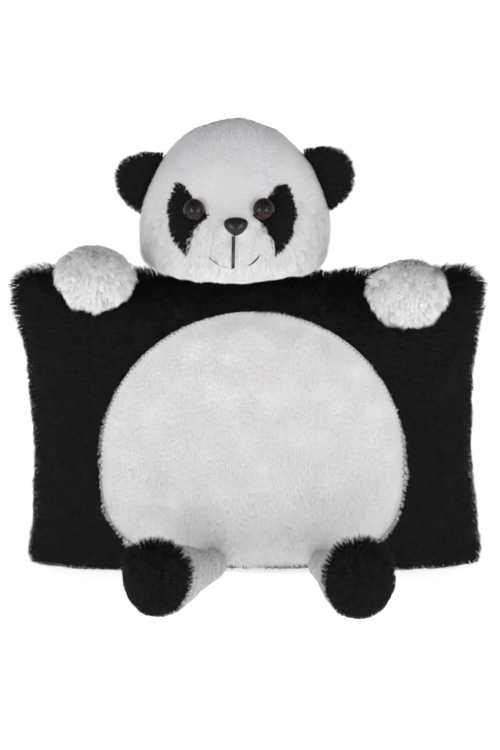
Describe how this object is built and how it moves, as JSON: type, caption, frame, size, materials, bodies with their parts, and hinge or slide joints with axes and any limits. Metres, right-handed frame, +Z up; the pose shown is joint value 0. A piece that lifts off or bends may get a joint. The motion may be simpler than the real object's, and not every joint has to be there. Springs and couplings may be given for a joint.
{
  "type": "plush panda cushion",
  "caption": "Stuffed rectangular cushion with a panda's head, half-round ears, stub arms and legs sewn on, standing on its lower edge.",
  "frame": {"origin": "on the floor under the front panel, at the middle of the cushion's width, where it rests", "axes": "+Z up from the floor, +Y from the face to the back, +X to the right as seen from the front"},
  "size_m": [0.4708, 0.2654, 0.459],
  "materials": {
    "black_plush": "matte",
    "white_plush": "matte",
    "stuffing": "matte",
    "black_thread": "matte",
    "eye_brown": "gloss",
    "black_plastic": "gloss",
    "washer_plastic": "matte"
  },
  "bodies": {
    "cushion": {"body_front_panel": "black_plush", "body_back_panel": "black_plush", "body_filling": "stuffing", "belly_patch": "white_plush", "belly_stitching": "black_thread"},
    "head": {"head_face_panel": "white_plush", "head_back_panel": "white_plush", "head_filling": "stuffing", "eye_patch_left": "black_plush", "eye_patch_right": "black_plush", "eye_left_lens": "eye_brown", "eye_right_lens": "eye_brown", "eye_left_stem": "black_plastic", "eye_right_stem": "black_plastic", "eye_left_washer": "washer_plastic", "eye_right_washer": "washer_plastic", "nose": "black_plastic", "nose_washer": "washer_plastic", "philtrum_stitch": "black_thread", "mouth_stitch_left": "black_thread", "mouth_stitch_right": "black_thread"},
    "ear_left": {"ear_left_front": "black_plush", "ear_left_back": "black_plush"},
    "ear_right": {"ear_right_front": "black_plush", "ear_right_back": "black_plush"},
    "arm_left": {"arm_left_sleeve": "black_plush", "arm_left_paw": "white_plush", "arm_left_filling": "stuffing"},
    "arm_right": {"arm_right_sleeve": "black_plush", "arm_right_paw": "white_plush", "arm_right_filling": "stuffing"},
    "leg_left": {"leg_left_sleeve": "white_plush", "leg_left_sole": "black_plush", "leg_left_filling": "stuffing"},
    "leg_right": {"leg_right_sleeve": "white_plush", "leg_right_sole": "black_plush", "leg_right_filling": "stuffing"}
  },
  "joints": [
    {"name": "head_nod", "type": "hinge", "parent": "cushion", "child": "head", "pos_m": [-0.015, 0.005, 0.297], "axis": [1, 0, 0], "range_deg": [-8, 20], "stiffness_Nm_per_rad": 1.5},
    {"name": "ear_left_fold", "type": "hinge", "parent": "head", "child": "ear_left", "pos_m": [-0.10561, -0.005, 0.3974], "axis": [0.353, 0, 0.9356], "range_deg": [-35, 40], "stiffness_Nm_per_rad": 0.06},
    {"name": "ear_right_fold", "type": "hinge", "parent": "head", "child": "ear_right", "pos_m": [0.07347, -0.005, 0.40269], "axis": [0.3962, 0, -0.9181], "range_deg": [-35, 40], "stiffness_Nm_per_rad": 0.06},
    {"name": "arm_left_swing", "type": "hinge", "parent": "cushion", "child": "arm_left", "pos_m": [-0.149, -0.035, 0.301], "axis": [1, 0, 0], "range_deg": [-45, 60], "stiffness_Nm_per_rad": 0.3},
    {"name": "arm_right_swing", "type": "hinge", "parent": "cushion", "child": "arm_right", "pos_m": [0.149, -0.036, 0.298], "axis": [1, 0, 0], "range_deg": [-60, 45], "stiffness_Nm_per_rad": 0.3},
    {"name": "leg_left_swing", "type": "hinge", "parent": "cushion", "child": "leg_left", "pos_m": [-0.045, -0.056, 0.0205], "axis": [1, 0, 0], "range_deg": [-50, 20], "stiffness_Nm_per_rad": 0.4},
    {"name": "leg_right_swing", "type": "hinge", "parent": "cushion", "child": "leg_right", "pos_m": [0.075, -0.055, 0.0205], "axis": [1, 0, 0], "range_deg": [-50, 20], "stiffness_Nm_per_rad": 0.4}
  ]
}
